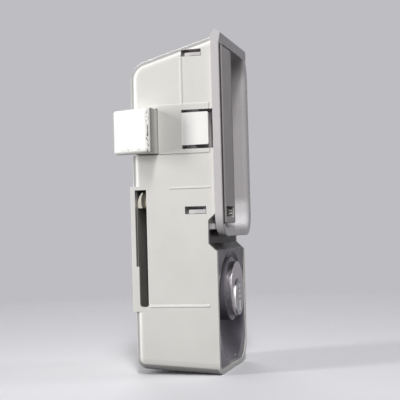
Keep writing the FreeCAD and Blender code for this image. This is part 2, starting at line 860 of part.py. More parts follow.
def make_guide_plate():
    left = -inner_x + slide_gap
    z_half = post_offset_z + post_radius + 0.4
    y = (plate_front_y(), plate_front_y() + plate_thickness)
    z = (latch_z - z_half, latch_z + z_half)
    plate = rounded_block((left, plate_right_x), y, z, (2.0, 2.0, 2.0, 2.0))
    room_z = (latch_z - arm_height / 2 - 0.9, latch_z + arm_height / 2 + 0.9)
    plate = plate.cut(box((left - 1.0, hinge_x + 9.6), (y[0] - 1.0, y[1] + 1.0), room_z))
    for x, z in post_places():
        plate = plate.cut(rod_y(plate_screw_radius + 0.15, (y[0] - 1.0, y[1] + 1.0), x, z))
    rib_y = (y[0] - 1.2, y[0] + 0.1)
    rib = box((hinge_x + 12.0, plate_right_x - 2.0), rib_y, (latch_z - 1.0, latch_z + 1.0))
    return join([plate, rib])


def make_plate_screws():
    seat = plate_front_y()
    screws = []
    for x, z in post_places():
        head = rod_y(plate_screw_head_radius, (seat - plate_screw_head_height, seat), x, z)
        top = edges_where(head, lambda e: lies_at(e, 1, seat - plate_screw_head_height))
        head = head.makeFillet(0.6, top)
        shank = rod_y(plate_screw_radius, (seat - 0.2, seat + plate_screw_length), x, z)
        screw = join([head, shank])
        for size in ((0.3, 1.3), (1.3, 0.3)):
            cross_y = (seat - plate_screw_head_height - 0.1, seat - 0.9)
            screw = screw.cut(box((x - size[0], x + size[0]), cross_y, (z - size[1], z + size[1])))
        screws.append(screw)
    return Part.makeCompound(screws)


# Lower dish


def bowl_sphere(extra):
    radius = (bowl_depth ** 2 + bowl_radius ** 2) / (2 * bowl_depth)
    return Part.makeSphere(radius + extra, V(0, dish_front_y + bowl_depth - radius, bowl_z))


def make_dish():
    room = envelope(wall + fit_gap, (dish_front_y, 14.0))
    room = room.common(box((-far, far), (-far, far), (-far, notch_bottom_z)))
    sheet = room.common(box((-far, far), (dish_front_y, dish_front_y + dish_wall), (-far, far)))
    shell = join([sheet, room.common(bowl_sphere(dish_wall))]).cut(bowl_sphere(0.0))
    apron_y = notch_depth - 0.1
    x = (-inner_x + fit_gap, inner_x - fit_gap)
    top = recess_bottom_z - cup_wall - fit_gap
    outline = [
        (dish_front_y, notch_bottom_z),
        (apron_y, notch_bottom_z + notch_slope),
        (apron_y, top),
        (apron_y + dish_wall, top),
        (apron_y + dish_wall, notch_bottom_z + notch_slope - 0.7),
        (dish_front_y + dish_wall, notch_bottom_z - 0.7),
        (dish_front_y, notch_bottom_z - 0.2),
    ]
    apron = prism_x(outline, x)
    boss = rod_y(boss_radius, (boss_front_y, collar_rear_y - 5.0), 0.0, boss_z)
    boss = boss.makeFillet(0.6, edges_where(boss, lambda e: lies_at(e, 1, boss_front_y)))
    collar = rod_y(collar_radius, (4.0, collar_rear_y), 0.0, boss_z)
    lugs = []
    lug_top = bottom_z(foot_y[0], wall + fit_gap) + 2.0
    stem_z = (bottom_z(foot_y[1] + 0.5, wall + fit_gap), lug_top)
    for s in (-1, 1):
        x_foot = sorted((s * foot_x[0], s * foot_x[1]))
        lugs.append(box(x_foot, (dish_front_y + 0.8, foot_y[1]), stem_z))
        lugs.append(box(x_foot, foot_y, (bottom_z(foot_y[0]) + 0.5, lug_top)))
    solid = join([shell, apron, boss, collar] + lugs)
    bore = barrel_blank(barrel_radius + 0.1, barrel_flat_x + 0.1, (-5.0, collar_rear_y + 1.0))
    return solid.cut(bore)


# Barrel, plug and pins


def barrel_blank(radius, flat, y):
    return rod_y(radius, y, 0.0, boss_z).common(box((-flat, flat), (y[0] - 1, y[1] + 1), (-far, far)))


def pin_places():
    return [pin_first_y + i * pin_pitch for i in range(pin_count)]


def shear_z():
    return plug_z + plug_radius


def make_barrel():
    body = barrel_blank(barrel_radius, barrel_flat_x, (boss_front_y, barrel_rear_y))
    flange = rod_y(barrel_flange_radius, (barrel_flange_front_y, boss_front_y), 0.0, boss_z)
    flange = flange.makeFillet(0.5, edges_where(flange, lambda e: lies_at(e, 1, barrel_flange_front_y)))
    block_z = (plug_z + stop_block_span[0], plug_z + stop_block_span[1])
    block_y = (barrel_rear_y - 1.0, barrel_rear_y + stop_washer_thickness + 0.4)
    block = box((-stop_block_width / 2, stop_block_width / 2), block_y, block_z)
    solid = join([body, flange, block])
    solid = solid.cut(rod_y(plug_radius + run_gap, (-10.0, barrel_rear_y + 1.0), 0.0, plug_z))
    solid = solid.cut(rod_y(plug_face_radius + 0.12, (-10.0, plug_face_seat_y), 0.0, plug_z))
    for y in pin_places():
        solid = solid.cut(rod_z(lock_pin_radius + run_gap, (plug_z, pin_cover_z + 0.1), 0.0, y))
    cover_y = (pin_first_y - 2.5, pin_places()[-1] + 2.5)
    half = pin_cover_width / 2
    solid = solid.cut(box((-half, half), cover_y, (pin_cover_z, -20.0)))
    grooves = (clip_y - 0.05, clip_y + clip_thickness + 0.05)
    for s in (-1, 1):
        x = sorted((s * (barrel_flat_x - clip_bite - 0.05), s * 20.0))
        solid = solid.cut(box(x, grooves, (-far, far)))
    return solid


def make_pin_cover():
    cover_y = (pin_first_y - 2.45, pin_places()[-1] + 2.45)
    half = pin_cover_width / 2 - 0.05
    return box((-half, half), cover_y, (pin_cover_z, pin_cover_z + pin_cover_thickness))


def keyway_opening():
    """Shallow slot across the face, with the bites of the wards along its far side."""
    width, length, depth = keyway_mouth
    y = (plug_face_y - 1.0, plug_face_y + depth)
    x = (-width / 2, width / 2)
    end = width / 2 - 0.05
    slot = rounded_block(x, y, (plug_z - length / 2, plug_z + length / 2), (end, end, end, end))
    wards = [rod_y(keyway_ward_radius, y, width / 2, z) for z in keyway_ward_z]
    return join([slot] + wards)


def make_plug():
    face = rod_y(plug_face_radius, (plug_face_y, plug_face_seat_y - 0.05), 0.0, plug_z)
    face = face.makeFillet(0.4, edges_where(face, lambda e: lies_at(e, 1, plug_face_y)))
    core = rod_y(plug_radius, (plug_face_y + 0.5, barrel_rear_y + 0.15), 0.0, plug_z)
    half = tail_width / 2
    tail_y = (barrel_rear_y - 1.0, cam_front_y + cam_thickness - 0.1)
    tail = box((-half, half), tail_y, (plug_z - half, plug_z + half))
    solid = join([face, core, tail])
    slot = box((-keyway_width / 2, keyway_width / 2), (plug_face_y - 1.0, keyway_depth), keyway_z)
    solid = solid.cut(slot).cut(keyway_opening())
    chamber_z = (shear_z() - max(key_pin_lengths) - 0.5, shear_z() + 1.0)
    for y in pin_places():
        solid = solid.cut(rod_z(lock_pin_radius + run_gap, chamber_z, 0.0, y))
    rear = cam_front_y + cam_thickness
    thread_y = (rear - cam_screw_length + 0.5, rear + 1.0)
    return solid.cut(rod_y(cam_screw_radius + seat_gap, thread_y, 0.0, plug_z))


def make_key_pins():
    pins = []
    top = shear_z() - pin_gap
    for y, length in zip(pin_places(), key_pin_lengths):
        tip = Part.makeCone(0.4, lock_pin_radius, 0.9, V(0, y, top - length), V(0, 0, 1))
        body = rod_z(lock_pin_radius, (top - length + 0.9, top), 0.0, y)
        pins.append(join([tip, body]))
    return Part.makeCompound(pins)


def driver_top():
    return shear_z() + pin_gap + driver_pin_length


def make_driver_pins():
    z = (shear_z() + pin_gap, driver_top())
    return Part.makeCompound([rod_z(lock_pin_radius, z, 0.0, y) for y in pin_places()])


def make_pin_springs():
    springs = []
    for y in pin_places():
        sleeve = rod_z(lock_pin_radius - 0.1, (driver_top(), pin_cover_z), 0.0, y)
        bore = rod_z(lock_pin_radius - 0.45, (driver_top() - 1.0, pin_cover_z + 1.0), 0.0, y)
        springs.append(sleeve.cut(bore))
    return Part.makeCompound(springs)


def make_barrel_clip():
    top = boss_z + barrel_radius
    grip = barrel_flat_x - clip_bite
    y = (clip_y, clip_y + clip_thickness)
    z = (boss_z - clip_drop, top + clip_rise)
    plate = rounded_block((-clip_outer_x, clip_outer_x), y, z, (1.5, 1.5, 4.0, 4.0))
    return plate.cut(box((-grip, grip), (y[0] - 1, y[1] + 1), (-far, top + 0.15)))


# Cam end of the plug


def make_stop_washer():
    y = (barrel_rear_y + 0.15, barrel_rear_y + 0.15 + stop_washer_thickness)
    disc = rod_y(stop_washer_radius, y, 0.0, plug_z)
    half_block = math.degrees(math.asin(stop_block_width / 2 / stop_block_span[0])) + 1.0
    start = 90.0 + half_block
    sweep = stop_turn + 2 * half_block
    points = [(0.0, plug_z)]
    for i in range(4):
        angle = math.radians(start - sweep * i / 3)
        points.append((20.0 * math.cos(angle), plug_z + 20.0 * math.sin(angle)))
    hub = rod_y(stop_washer_inner_radius, (y[0] - 2, y[1] + 2), 0.0, plug_z)
    cut = prism_y(points, (y[0] - 1, y[1] + 1)).cut(hub)
    return disc.cut(cut).cut(tail_hole(y))


def tail_hole(y):
    half = tail_width / 2 + 0.05
    return box((-half, half), (y[0] - 1, y[1] + 1), (plug_z - half, plug_z + half))


def make_spacer():
    y = (barrel_rear_y + 0.15 + stop_washer_thickness, cam_front_y)
    return rod_y(stop_washer_inner_radius, y, 0.0, plug_z).cut(tail_hole(y))


def make_hook_cam():
    y = (cam_front_y, cam_front_y + cam_thickness)
    band_low, band_high = cam_band_x
    hook_low = plug_z + cam_hook_z[0]
    hook_high = plug_z + cam_hook_z[1]
    bend_x = cam_hook_tip_x + cam_hook_curl
    outline = [
        (band_low, plug_z),
        (band_high, plug_z),
        (band_high, hook_high),
        (bend_x, hook_high),
        (bend_x, hook_low),
        (band_low, hook_low),
    ]
    arm = prism_y(outline, y)
    outer = edges_where(arm, lambda e: lies_at(e, 0, band_high) and lies_at(e, 2, hook_high))
    inner = edges_where(arm, lambda e: lies_at(e, 0, band_low) and lies_at(e, 2, hook_low))
    arm = arm.makeFillet(cam_bend_radius, outer + inner)
    eye = rod_y(cam_eye_radius, y, 0.0, plug_z)
    curl = curled_tip(hook_low, hook_high)
    return join([arm, eye, curl]).cut(tail_hole(y))


def curled_tip(low, high):
    """The hook's end, curled so that its section is a crescent."""
    front, rear = cam_curl_y
    x = cam_hook_tip_x
    belly = low + 0.55 * (high - low)
    tip = V(x, front - 0.1, high)
    top = V(x, front + 0.5, high)
    outer = Part.Arc(top, V(x, rear - 0.15, belly), V(x, rear, low)).toShape()
    foot = Part.LineSegment(V(x, rear, low), V(x, front + 0.4, low)).toShape()
    inner = Part.Arc(V(x, front + 0.4, low), V(x, front + 0.95, belly - 0.4), tip).toShape()
    cap = Part.LineSegment(tip, top).toShape()
    face = Part.Face(Part.Wire([outer, foot, inner, cap]))
    return face.extrude(V(cam_hook_curl + 0.3, 0, 0))


def make_cam_washer():
    rear = cam_front_y + cam_thickness
    y = (rear, rear + cam_washer_thickness)
    ring = rod_y(cam_screw_head_radius, y, 0.0, plug_z)
    return ring.cut(rod_y(cam_screw_radius + 0.1, (y[0] - 1, y[1] + 1), 0.0, plug_z))


def make_cam_screw():
    seat = cam_front_y + cam_thickness + cam_washer_thickness
    end = seat + cam_screw_head_height
    head = rod_y(cam_screw_head_radius, (seat, end), 0.0, plug_z)
    head = head.makeFillet(0.7, edges_where(head, lambda e: lies_at(e, 1, end)))
    shank = rod_y(cam_screw_radius, (seat - cam_screw_length, seat + 0.2), 0.0, plug_z)
    screw = join([head, shank])
    for across, up in ((0.35, 1.9), (1.9, 0.35)):
        screw = screw.cut(box((-across, across), (end - 0.9, end + 0.1), (plug_z - up, plug_z + up)))
    return screw


nodes = {
    "housing": make_housing,
    "handle_cup": make_cup,
    "handle_paddle": make_paddle,
    "paddle_pin": make_paddle_pin,
    "paddle_spring": make_paddle_spring,
    "latch_bolt": make_latch_bolt,
    "bolt_spring": make_bolt_spring,
    "bolt_guide_plate": make_guide_plate,
    "guide_plate_screws": make_plate_screws,
    "lock_dish": make_dish,
    "lock_barrel": make_barrel,
    "lock_plug": make_plug,
    "key_pins": make_key_pins,
    "driver_pins": make_driver_pins,
    "pin_springs": make_pin_springs,
    "pin_cover": make_pin_cover,
    "barrel_clip": make_barrel_clip,
    "stop_washer": make_stop_washer,
    "cam_spacer": make_spacer,
    "hook_cam": make_hook_cam,
    "cam_washer": make_cam_washer,
    "cam_screw": make_cam_screw,
}

for name, make in nodes.items():
    shape = make()
    shape.exportStep("parts/" + name + ".step")
    bounds = shape.BoundBox
    low = [round(v, 2) for v in (bounds.XMin, bounds.YMin, bounds.ZMin)]
    high = [round(v, 2) for v in (bounds.XMax, bounds.YMax, bounds.ZMax)]
    print(name, len(shape.Solids), shape.isValid(), round(shape.Volume, 1), low, high)
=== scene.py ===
import json
import math

import bpy
from mathutils import Matrix, Vector


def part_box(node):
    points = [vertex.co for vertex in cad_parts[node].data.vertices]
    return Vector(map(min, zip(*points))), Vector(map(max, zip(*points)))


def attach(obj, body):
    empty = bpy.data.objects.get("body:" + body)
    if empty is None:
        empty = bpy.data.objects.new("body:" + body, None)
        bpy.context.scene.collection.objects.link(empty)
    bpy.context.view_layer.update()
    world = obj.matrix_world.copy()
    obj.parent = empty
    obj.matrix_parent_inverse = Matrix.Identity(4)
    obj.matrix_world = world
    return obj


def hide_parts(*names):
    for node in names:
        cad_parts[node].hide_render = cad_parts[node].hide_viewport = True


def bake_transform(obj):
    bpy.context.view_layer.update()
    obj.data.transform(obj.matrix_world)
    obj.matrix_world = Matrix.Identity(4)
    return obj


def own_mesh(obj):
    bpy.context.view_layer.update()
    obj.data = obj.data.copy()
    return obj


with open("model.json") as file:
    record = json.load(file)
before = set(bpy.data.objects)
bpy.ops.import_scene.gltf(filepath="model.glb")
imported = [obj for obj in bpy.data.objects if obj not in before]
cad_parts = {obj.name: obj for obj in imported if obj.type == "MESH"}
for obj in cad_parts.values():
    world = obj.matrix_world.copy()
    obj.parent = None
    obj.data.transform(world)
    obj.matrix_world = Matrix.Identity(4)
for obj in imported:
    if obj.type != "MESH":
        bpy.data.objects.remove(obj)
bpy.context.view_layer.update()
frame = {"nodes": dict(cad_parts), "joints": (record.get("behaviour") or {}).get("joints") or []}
nodes = frame["nodes"]

# Lengths are in metres, and in millimetres for the camera's lens and sensor. Colours are 0 to 255

X, Y, Z = 0, 1, 2
LOW, HIGH = 0, 1


def box_span(node, corner, axis, start, end):
    """Two places along an axis, measured from the lowest or highest corner of a node's box."""
    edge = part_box(node)[corner][axis]
    return (edge + start, edge + end)


# Camera at the photograph's viewing angle

lens = 90.0
sensor_width = 36.0
nearest_seen = 0.01
camera_place = (-0.4383, -0.0980, -0.01115)
camera_forward = (0.9686, 0.2473, 0.0269)
camera_up = (-0.0194, -0.0328, 0.9993)


def add_camera():
    data = bpy.data.cameras.new("camera")
    data.lens = lens
    data.sensor_width = sensor_width
    data.clip_start = nearest_seen
    camera = bpy.data.objects.new("camera", data)
    bpy.context.scene.collection.objects.link(camera)
    forward = Vector(camera_forward).normalized()
    right = forward.cross(Vector(camera_up)).normalized()
    up = right.cross(forward)
    turn = Matrix((right, up, -forward)).transposed()
    camera.matrix_world = Matrix.Translation(camera_place) @ turn.to_4x4()
    bpy.context.scene.camera = camera


# Colours and node trees

noise_range = {"start": 0.3, "end": 0.7}
edge_mark_reach = 0.0009
bump_strength = 0.5


def linear(r, g, b):
    """A screen colour as the linear values that a shader takes."""
    return tuple(((c / 255 + 0.055) / 1.055) ** 2.4 if c > 10 else c / 255 / 12.92 for c in (r, g, b))


def scaled(colour, factor):
    return tuple(min(1.0, c * factor) for c in colour)


def opaque(colour):
    return (*linear(*colour), 1.0)


class Shader:
    """Small helper round a node tree, so that a material reads as a list of steps."""

    def __init__(self, name):
        self.material = bpy.data.materials.new(name)
        self.material.use_nodes = True
        self.tree = self.material.node_tree
        self.tree.nodes.clear()
        out = self.tree.nodes.new("ShaderNodeOutputMaterial")
        self.main = self.tree.nodes.new("ShaderNodeBsdfPrincipled")
        self.feed(out.inputs[0], self.main.outputs[0])
        source = self.tree.nodes.new("ShaderNodeTexCoord")
        self.place = source.outputs["Object"]
        self.facing = source.outputs["Normal"]

    def feed(self, socket, value):
        """Links an output to a socket, or sets a plain value on it."""
        if hasattr(value, "is_output"):
            self.tree.links.new(value, socket)
        else:
            socket.default_value = value

    def set(self, name, value):
        self.feed(self.main.inputs[name], value)

    def noise(self, scale, detail, stretch=None, rough=0.5):
        """Cloudy pattern of about 0 to 1. A higher scale makes it finer."""
        source = self.place
        if stretch:
            mapping = self.tree.nodes.new("ShaderNodeMapping")
            self.feed(mapping.inputs["Vector"], source)
            self.feed(mapping.inputs["Scale"], stretch)
            source = mapping.outputs[0]
        node = self.tree.nodes.new("ShaderNodeTexNoise")
        self.feed(node.inputs["Vector"], source)
        self.feed(node.inputs["Scale"], scale)
        self.feed(node.inputs["Detail"], detail)
        self.feed(node.inputs["Roughness"], rough)
        return node.outputs["Fac"]

    def ramp(self, source, first, last):
        """Runs from one colour to another. Each end is a place from 0 to 1 and a colour."""
        node = self.tree.nodes.new("ShaderNodeValToRGB")
        for element, (at, colour) in zip(node.color_ramp.elements, (first, last)):
            element.position = at
            element.color = (*colour, 1.0)
        self.feed(node.inputs[0], source)
        return node.outputs[0]

    def mix(self, factor, a, b):
        """Mixes two colours, which are inputs 6 and 7 and output 2 of the node."""
        node = self.tree.nodes.new("ShaderNodeMix")
        node.data_type = "RGBA"
        self.feed(node.inputs[0], factor)
        self.feed(node.inputs[6], a)
        self.feed(node.inputs[7], b)
        return node.outputs[2]

    def math(self, operation, a, b=0.0):
        node = self.tree.nodes.new("ShaderNodeMath")
        node.operation = operation
        self.feed(node.inputs[0], a)
        self.feed(node.inputs[1], b)
        return node.outputs[0]

    def spread(self, source, low, high, start=0.0, end=1.0):
        """Low where the source is at the start, high where it is at the end."""
        node = self.tree.nodes.new("ShaderNodeMapRange")
        self.feed(node.inputs["Value"], source)
        self.feed(node.inputs["From Min"], start)
        self.feed(node.inputs["From Max"], end)
        self.feed(node.inputs["To Min"], low)
        self.feed(node.inputs["To Max"], high)
        return node.outputs[0]

    def axis(self, index, source=None):
        """One number of the place on the piece, or of another source with X, Y and Z."""
        node = self.tree.nodes.new("ShaderNodeSeparateXYZ")
        self.feed(node.inputs[0], source or self.place)
        return node.outputs[index]

    def within(self, index, span, soft, wobble=0.0):
        """1 between two places along an axis, with soft ends and an uneven line."""
        value = self.axis(index)
        if wobble:
            waves = self.noise(scale=700.0, detail=4.0, rough=0.7)
            shift = self.spread(waves, -wobble, wobble, **noise_range)
            value = self.math("ADD", value, shift)
        low, high = span
        start = self.spread(value, 0.0, 1.0, start=low - soft, end=low + soft)
        end = self.spread(value, 1.0, 0.0, start=high - soft, end=high + soft)
        return self.math("MULTIPLY", start, end)

    def overpaint(self, skin, colour, *masks):
        """Colour over the skin where every mask is 1. The last can be a plain amount."""
        place = masks[0]
        for mask in masks[1:]:
            place = self.math("MULTIPLY", place, mask)
        return self.mix(place, skin, opaque(colour))

    def side_on(self):
        """How far the surface faces along X, either way: 0 is not at all, 1 is fully."""
        return self.math("ABSOLUTE", self.axis(X, self.facing))

    def rounded_parts(self):
        """1 where the side wall bends away over a rounded edge, 0 on flat faces."""
        side = self.side_on()
        off_the_side = self.spread(side, 0.0, 1.0, start=0.99, end=0.92)
        off_the_ends = self.spread(side, 0.0, 1.0, start=0.02, end=0.2)
        return self.math("MULTIPLY", off_the_side, off_the_ends)

    def soft_edges(self, radius, samples=6):
        """Rounds every sharp edge a little, as a moulded or tumbled piece has it."""
        bevel = self.tree.nodes.new("ShaderNodeBevel")
        bevel.samples = samples
        self.feed(bevel.inputs["Radius"], radius)
        return bevel.outputs[0]

    def near_edge(self):
        """How far the surface turns within reach of an edge: 0 on a flat face, towards 1 at an edge."""
        dot = self.tree.nodes.new("ShaderNodeVectorMath")
        dot.operation = "DOT_PRODUCT"
        self.feed(dot.inputs[0], self.soft_edges(edge_mark_reach, samples=4))
        self.feed(dot.inputs[1], self.tree.nodes.new("ShaderNodeNewGeometry").outputs["Normal"])
        return self.math("SUBTRACT", 1.0, dot.outputs["Value"])

    def bump(self, source, distance, before):
        node = self.tree.nodes.new("ShaderNodeBump")
        self.feed(node.inputs["Height"], source)
        self.feed(node.inputs["Distance"], distance)
        self.feed(node.inputs["Strength"], bump_strength)
        self.feed(node.inputs["Normal"], before)
        return node.outputs[0]


# Kinds of finish. Sheen is the shader's Specular IOR Level, which is 0.5 for common plastic

plastic_ior = 1.46
wave_height = 0.0001
gloss_spread = 0.06
speck_tone = 0.86
speck_amount = 0.35
speck_range = {"start": 0.66, "end": 0.74}
metal_edge = 0.00012
metal_gloss = (0.75, 1.3)
# Painted highlight on metal sides that face along X.
side_highlight_colour = (252, 252, 249)
side_highlight_roughness = 0.25
side_highlight_turn = {"start": 0.65, "end": 0.85}


def moulded(name, colour, roughness, grain=0.00002, cloud=0.03, edge=0.0004, sheen=0.5, marks=None):
    """Moulded plastic: faint flow clouds, a fine grain, broken gloss and slightly rounded edges."""
    s = Shader(name)
    base = linear(*colour)
    flow = s.noise(scale=38.0, detail=4.0)
    clouds = s.ramp(flow, (0.3, scaled(base, 1 - cloud)), (0.7, scaled(base, 1 + cloud)))
    fine = s.noise(scale=900.0, detail=2.0, rough=0.7)
    specks = s.spread(fine, 0.0, speck_amount, **speck_range)
    skin = s.mix(specks, clouds, (*scaled(base, speck_tone), 1.0))
    s.set("Specular IOR Level", sheen)
    if marks:
        skin = marks(s, skin)
    s.set("Base Color", skin)
    blotches = s.noise(scale=150.0, detail=3.0)
    smoothest = roughness - gloss_spread
    roughest = roughness + gloss_spread
    s.set("Roughness", s.spread(blotches, smoothest, roughest, **noise_range))
    wave = s.bump(s.noise(scale=22.0, detail=1.0), wave_height, s.soft_edges(edge))
    s.set("Normal", s.bump(s.noise(scale=2600.0, detail=2.0), grain, wave))
    s.set("IOR", plastic_ior)
    return s.material


def plated(name, colour, roughness, grain, dull=0.86, side_highlight=0.0, marks=None):
    """Plated metal with a fine grain, and a painted highlight of the given strength on its sides along X.
    """
    s = Shader(name)
    base = linear(*colour)
    s.set("Metallic", 1.0)
    skin = s.ramp(s.noise(scale=220.0, detail=3.0), (0.35, scaled(base, dull)), (0.65, base))
    blotches = s.noise(scale=400.0, detail=3.0)
    gloss = s.spread(blotches, roughness * metal_gloss[0], roughness * metal_gloss[1], **noise_range)
    # Painted highlight: the sides facing along X are paler and rougher.
    if side_highlight:
        sides = s.spread(s.side_on(), 0.0, side_highlight, **side_highlight_turn)
        skin = s.overpaint(skin, side_highlight_colour, sides)
        gloss = s.math("ADD", gloss, s.math("MULTIPLY", sides, side_highlight_roughness))
    if marks:
        skin = marks(s, skin)
    s.set("Base Color", skin)
    s.set("Roughness", gloss)
    brushed = s.noise(scale=1500.0, detail=2.0, stretch=(1, 1, 0.2))
    s.set("Normal", s.bump(brushed, grain, s.soft_edges(metal_edge)))
    return s.material


# Wear and grime, painted highlights and painted shade

# Pale colour for worn edges and for painted highlights.
wear_and_highlight_white = (252, 251, 248)
pale_edge_turn = {"start": 0.03, "end": 0.2}


def pale_edges(s, skin, amount):
    """Edges painted paler than the faces, partly as wear and partly as painted highlight."""
    return s.overpaint(skin, wear_and_highlight_white, s.spread(s.near_edge(), 0.0, amount, **pale_edge_turn))


tab_y = box_span("housing", LOW, Y, -0.0020, 0.0139)
tab_z = box_span("housing", LOW, Z, 0.0977, 0.1117)
cavity_x = (-0.0274, 0.0274)
cavity_y = (0.0008, 0.0366)
# Painted shade on the inner walls.
cavity_painted_shade = (88, 84, 79)
housing_wear_and_highlight = 0.55
cavity_shade_amount = 0.6


def housing_marks(s, skin):
    """Pale edges, partly wear and partly painted highlight, a painted highlight on the roundings and snap
    tabs, and painted shade on the inner walls.
    """
    skin = pale_edges(s, skin, housing_wear_and_highlight)
    # Painted highlight on the roundings and on the snap tabs.
    skin = s.overpaint(skin, wear_and_highlight_white, s.rounded_parts())
    skin = s.overpaint(skin, wear_and_highlight_white, s.within(Y, tab_y, soft=0.0001), s.within(Z, tab_z, soft=0.0001))
    # Painted shade on the inner walls of the case.
    inside = (s.within(X, cavity_x, soft=0.0002), s.within(Y, cavity_y, soft=0.0002))
    return s.overpaint(skin, cavity_painted_shade, *inside, cavity_shade_amount)


cup_sheen = 0.25
# The painted highlight low in the recess.
recess_highlight_x = box_span("handle_cup", HIGH, X, -0.0100, -0.0030)
recess_highlight_y = box_span("handle_cup", LOW, Y, 0.00125, 0.01425)
recess_highlight_z = box_span("handle_cup", LOW, Z, 0.0024, 0.0159)
recess_highlight_colour = (254, 252, 254)
far_edge_x = box_span("handle_cup", HIGH, X, -0.0055, 0.0005)


def far_edge(s):
    """The edges on the side away from the bolt."""
    return s.near_edge(), s.within(X, far_edge_x, soft=0.0004)


def cup_marks(s, skin):
    """Painted highlights: a bright patch at the low end of the recess, and a bright far edge."""
    # Painted highlights on the far edge and on a patch low on the recess's far wall.
    skin = s.overpaint(skin, recess_highlight_colour, *far_edge(s))
    low_end = s.within(Z, recess_highlight_z, soft=0.0018, wobble=0.0006)
    far_wall = s.within(X, recess_highlight_x, soft=0.0015)
    return s.overpaint(skin, recess_highlight_colour, low_end, far_wall, s.within(Y, recess_highlight_y, soft=0.0020))


# Colour of the painted shade on the paddle.
paddle_painted_shade = (54, 47, 47)
pull_edge_x = box_span("handle_paddle", HIGH, X, -0.0017, 0.0007)
pull_edge_y = box_span("handle_paddle", LOW, Y, -0.0018, 0.0062)
frame_gap_x = box_span("handle_paddle", LOW, X, -0.0008, 0.0004)
frame_gap_y = box_span("handle_paddle", LOW, Y, 0.0005, 0.0062)
paddle_wear_and_highlight = 0.9
pull_edge_shade_amount = 0.75
frame_gap_shade_amount = 0.9


def paddle_marks(s, skin):
    """Pale edges, partly wear and partly painted highlight, and painted shade at the pull edge and down
    in the gap beside the frame.
    """
    skin = pale_edges(s, skin, paddle_wear_and_highlight)
    # Painted shade at the pull edge and in the gap beside the frame.
    pull = (s.within(X, pull_edge_x, soft=0.0002, wobble=0.0002), s.within(Y, pull_edge_y, soft=0.0001))
    skin = s.overpaint(skin, paddle_painted_shade, *pull, pull_edge_shade_amount)
    gap = (s.within(X, frame_gap_x, soft=0.0001), s.within(Y, frame_gap_y, soft=0.0001))
    return s.overpaint(skin, paddle_painted_shade, *gap, frame_gap_shade_amount)


dish_sheen = 0.1
# Painted shade in the corner under the frame, and painted highlights in the bowl and on the far edge.
shaded_corner_sheen = 0.025
bowl_highlight_x = box_span("lock_dish", HIGH, X, -0.0088, -0.0013)
bowl_highlight_z = box_span("lock_dish", LOW, Z, 0.0067, 0.0172)
bowl_highlight_colour = (166, 160, 176)
corner_z = box_span("lock_dish", HIGH, Z, -0.00885, 0.00445)
corner_painted_shade = (60, 52, 45)
dish_far_highlight = (235, 231, 238)
bowl_highlight_amount = 0.6
dish_wear_and_highlight = 0.6
corner_shade_amount = 0.8


def dish_marks(s, skin):
    """Pale edges, partly wear and partly painted highlight, matt painted shade in the corner under the
    frame, and painted highlights low in the bowl and on the far edge.
    """
    # Painted highlight on a patch low in the bowl.
    patch = (s.within(Z, bowl_highlight_z, soft=0.0040), s.within(X, bowl_highlight_x, soft=0.0030))
    skin = s.overpaint(skin, bowl_highlight_colour, *patch, bowl_highlight_amount)
    # Painted shade in the corner under the frame, darker and less glossy.
    corner = s.within(Z, corner_z, soft=0.0008, wobble=0.0004)
    s.set("Specular IOR Level", s.spread(corner, dish_sheen, shaded_corner_sheen))
    skin = pale_edges(s, skin, dish_wear_and_highlight)
    skin = s.overpaint(skin, corner_painted_shade, corner, corner_shade_amount)
    # Painted highlight along the far edge.
    return s.overpaint(skin, dish_far_highlight, *far_edge(s))


tip_x = box_span("latch_bolt", LOW, X, -0.0010, 0.0015)
chipped_y = box_span("latch_bolt", LOW, Y, 0.0011, 0.0017)
scrape_y = box_span("latch_bolt", LOW, Y, 0.0011, 0.0015)
scrape_z = box_span("latch_bolt", LOW, Z, 0.0067, 0.0115)
low_edge_x = box_span("latch_bolt", LOW, X, 0.0003, 0.0060)
low_edge_z = box_span("latch_bolt", LOW, Z, 0.0012, 0.0019)
bolt_front_y = box_span("latch_bolt", LOW, Y, -0.0007, 0.0003)
front_fade_x = box_span("latch_bolt", LOW, X, 0.0005, 0.0085)
chip_dirt = (52, 49, 45)
low_edge_tone = (122, 104, 86)
# Painted shade on the bolt's front face.
bolt_front_painted_shade = (96, 92, 87)
chip_range = {"start": 0.46, "end": 0.56}
chip_amount = 0.9
low_edge_amount = 0.45
front_shade_amounts = (0.8, 0.1)


def bolt_marks(s, skin):
    """Chipped line and a dark scrape beside the bolt's front edge, a darker brownish line along the low
    edge, and painted shade on the front face.
    """
    tip = s.within(X, tip_x, soft=0.0002)
    chips = s.spread(s.noise(scale=900.0, detail=3.0, rough=0.7), 0.0, 1.0, **chip_range)
    chipped = s.within(Y, chipped_y, soft=0.00012, wobble=0.0005)
    skin = s.overpaint(skin, chip_dirt, chipped, tip, chips, chip_amount)
    scrape = s.within(Y, scrape_y, soft=0.00008, wobble=0.0001)
    skin = s.overpaint(skin, chip_dirt, s.within(Z, scrape_z, soft=0.0003), scrape, tip)
    low_edge = s.within(Z, low_edge_z, soft=0.0002, wobble=0.0003)
    along = s.within(X, low_edge_x, soft=0.0006)
    skin = s.overpaint(skin, low_edge_tone, low_edge, along, chips, low_edge_amount)
    # Painted shade on the bolt's front face, fading away from the tip.
    fade = s.spread(s.axis(X), *front_shade_amounts, *front_fade_x)
    return s.overpaint(skin, bolt_front_painted_shade, s.within(Y, bolt_front_y, soft=0.0001), fade)


keyway_dark_x = (-0.0028, 0.0028)
keyway_dark_z = (-0.0500, -0.0355)
keyway_wall_x = (0.0009, 0.0014)
keyway_wall_y = box_span("lock_plug", LOW, Y, -0.0003, 0.0015)
keyway_dark = (62, 58, 58)
# Painted highlight on the keyway's far wall.
keyway_wall_highlight = (253, 252, 249)
keyway_dark_amount = 0.6


